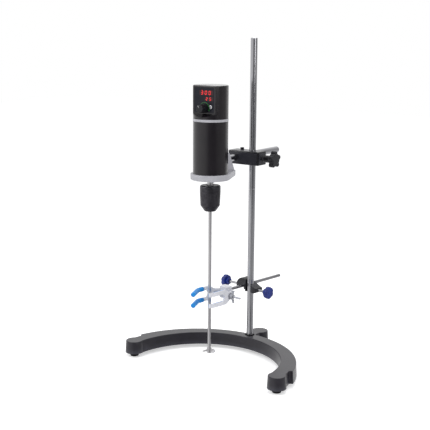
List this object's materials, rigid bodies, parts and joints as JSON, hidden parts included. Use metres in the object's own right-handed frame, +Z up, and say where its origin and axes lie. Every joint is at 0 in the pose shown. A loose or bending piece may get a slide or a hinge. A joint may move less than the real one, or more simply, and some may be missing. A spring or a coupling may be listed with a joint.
{
  "type": "overhead stirrer",
  "caption": "Bench overhead stirrer on a horseshoe stand, with a chuck, stirring shaft and propeller, and a vessel clamp on the same rod.",
  "frame": {"origin": "on the bench, under the middle of the whole footprint", "axes": "+Z up along the rod, +Y from the control panel back to the rod, +X to the right of the panel"},
  "size_m": [0.4414, 0.382, 0.748],
  "materials": {
    "casting": "smooth grey enamel over a sand casting",
    "bright_rod": "drawn and plated",
    "rubber": "matt",
    "zinc": "zinc plated",
    "boss": "dark paint on a casting",
    "black_plastic": "moulded",
    "silver_paint": "satin silver",
    "housing_paint": "satin dark grey",
    "panel": "printed film",
    "display": "dark red window",
    "board": "solder resist",
    "silver_button": "polished",
    "copper": "varnished wire",
    "laminations": "stacked sheet",
    "bearing_steel": "ground",
    "dark_steel": "blackened",
    "stainless": "ground",
    "light_casting": "tumbled die casting",
    "blue_knob": "moulded",
    "blue_pad": "soft sleeve"
  },
  "bodies": {
    "stand": {"horseshoe_base": "casting", "support_rod": "bright_rod", "rod_bolt": "zinc", "rod_washer": "zinc", "rubber_foot_left": "rubber", "rubber_foot_right": "rubber", "rubber_foot_rear": "rubber", "foot_screws": "zinc"},
    "upper_clamp": {"upper_boss_head": "boss", "arm_set_screw": "dark_steel"},
    "star_clamp": {"star_screw": "bright_rod", "star_knob": "black_plastic"},
    "motor_unit": {"arm_rod": "bright_rod", "motor_flange": "silver_paint", "arm_grub_screw": "dark_steel", "flange_screws": "zinc", "motor_housing": "housing_paint", "trim_ring": "silver_paint", "control_head": "housing_paint", "front_panel": "panel", "speed_display": "display", "torque_display": "display", "circuit_board": "board", "potentiometer": "dark_steel", "push_switch": "black_plastic", "button_spring": "bearing_steel", "stator": "laminations", "windings": "copper", "bearing_plate": "light_casting", "upper_bearing": "bearing_steel", "lower_bearing": "bearing_steel"},
    "speed_control": {"speed_knob": "black_plastic", "knob_spindle": "bearing_steel"},
    "start_stop": {"start_button": "silver_button"},
    "drive": {"output_spindle": "stainless", "rotor": "laminations", "chuck_core": "dark_steel", "chuck_collar": "dark_steel", "stirring_shaft": "stainless", "propeller": "stainless"},
    "sleeve": {"chuck_sleeve": "dark_steel"},
    "jaw_1": {"chuck_jaw_1": "dark_steel"},
    "jaw_2": {"chuck_jaw_2": "dark_steel"},
    "jaw_3": {"chuck_jaw_3": "dark_steel"},
    "lower_clamp": {"lower_boss_head": "boss"},
    "rod_grip": {"rod_clamp_screw": "bright_rod", "rod_clamp_knob": "blue_knob"},
    "clamp_grip": {"clamp_rod_screw": "bright_rod", "clamp_rod_knob": "blue_knob"},
    "vessel_clamp": {"clamp_rod": "bright_rod", "fixed_jaw": "light_casting", "fixed_jaw_pads": "blue_pad", "jaw_pin": "zinc", "adjusting_screw": "zinc"},
    "moving_jaw": {"swing_jaw": "light_casting", "swing_jaw_pads": "blue_pad"},
    "washer": {"nut_washer": "zinc"},
    "nut": {"wing_nut": "zinc"}
  },
  "joints": [
    {"name": "upper_boss_slide", "type": "slide", "parent": "stand", "child": "upper_clamp", "axis": [0, 0, 1], "range_m": [-0.014, 0.25]},
    {"name": "star_knob_turn", "type": "hinge", "parent": "upper_clamp", "child": "star_clamp", "pos_m": [0.045, 0.02704, 0.472], "axis": [1, 0, 0], "range_deg": [0, 360]},
    {"name": "arm_slide", "type": "slide", "parent": "upper_clamp", "child": "motor_unit", "axis": [0, 1, 0], "range_m": [-0.04, 0.015]},
    {"name": "speed_knob_turn", "type": "hinge", "parent": "motor_unit", "child": "speed_control", "pos_m": [-0.0345, -0.12297, 0.5945], "axis": [0, 1, 0], "range_deg": [0, 270]},
    {"name": "start_button_press", "type": "slide", "parent": "motor_unit", "child": "start_stop", "axis": [0, 1, 0], "range_m": [0, 0.0015], "stiffness_N_per_m": 600, "springref_m": -0.0008, "deforming": ["button_spring"]},
    {"name": "drive_spin", "type": "hinge", "parent": "motor_unit", "child": "drive", "pos_m": [-0.035, -0.09297, 0.43], "axis": [0, 0, 1], "continuous": true},
    {"name": "chuck_sleeve_turn", "type": "hinge", "parent": "drive", "child": "sleeve", "pos_m": [-0.035, -0.09297, 0.38], "axis": [0, 0, 1], "range_deg": [0, 360]},
    {"name": "chuck_jaw_1_slide", "type": "slide", "parent": "drive", "child": "jaw_1", "axis": [0.1736, 0, 0.9848], "range_m": [0, 0.0024]},
    {"name": "chuck_jaw_2_slide", "type": "slide", "parent": "drive", "child": "jaw_2", "axis": [-0.0868, 0.1504, 0.9848], "range_m": [0, 0.0024]},
    {"name": "chuck_jaw_3_slide", "type": "slide", "parent": "drive", "child": "jaw_3", "axis": [-0.0868, -0.1504, 0.9848], "range_m": [0, 0.0024]},
    {"name": "lower_boss_slide", "type": "slide", "parent": "stand", "child": "lower_clamp", "axis": [0, 0, 1], "range_m": [-0.07, 0.09]},
    {"name": "rod_grip_turn", "type": "hinge", "parent": "lower_clamp", "child": "rod_grip", "pos_m": [0.04952, 0.02009, 0.155], "axis": [0.9903, -0.1388, 0], "range_deg": [0, 360]},
    {"name": "clamp_grip_turn", "type": "hinge", "parent": "lower_clamp", "child": "clamp_grip", "pos_m": [-0.05942, 0.03537, 0.16], "axis": [0.9903, -0.1388, 0], "range_deg": [0, 360]},
    {"name": "clamp_rod_slide", "type": "slide", "parent": "lower_clamp", "child": "vessel_clamp", "axis": [0.1388, 0.9903, 0], "range_m": [-0.008, 0.008]},
    {"name": "moving_jaw_swing", "type": "hinge", "parent": "vessel_clamp", "child": "moving_jaw", "pos_m": [-0.01071, -0.04215, 0.155], "axis": [0, 0, 1], "range_deg": [0, 12]},
    {"name": "washer_slide", "type": "slide", "parent": "vessel_clamp", "child": "washer", "axis": [0.9903, -0.1388, 0], "range_m": [0, 0.0047]},
    {"name": "wing_nut_turn", "type": "hinge", "parent": "washer", "child": "nut", "pos_m": [0.00517, -0.05851, 0.155], "axis": [0.9903, -0.1388, 0], "range_deg": [0, 2100]}
  ],
  "couplings": [
    {"joint": "chuck_jaw_1_slide", "follows": "chuck_sleeve_turn", "m_per_rad": 0.00038121},
    {"joint": "chuck_jaw_2_slide", "follows": "chuck_sleeve_turn", "m_per_rad": 0.00038121},
    {"joint": "chuck_jaw_3_slide", "follows": "chuck_sleeve_turn", "m_per_rad": 0.00038121},
    {"joint": "washer_slide", "follows": "moving_jaw_swing", "m_per_rad": 0.022},
    {"joint": "wing_nut_turn", "follows": "moving_jaw_swing", "ratio": 172.79}
  ]
}
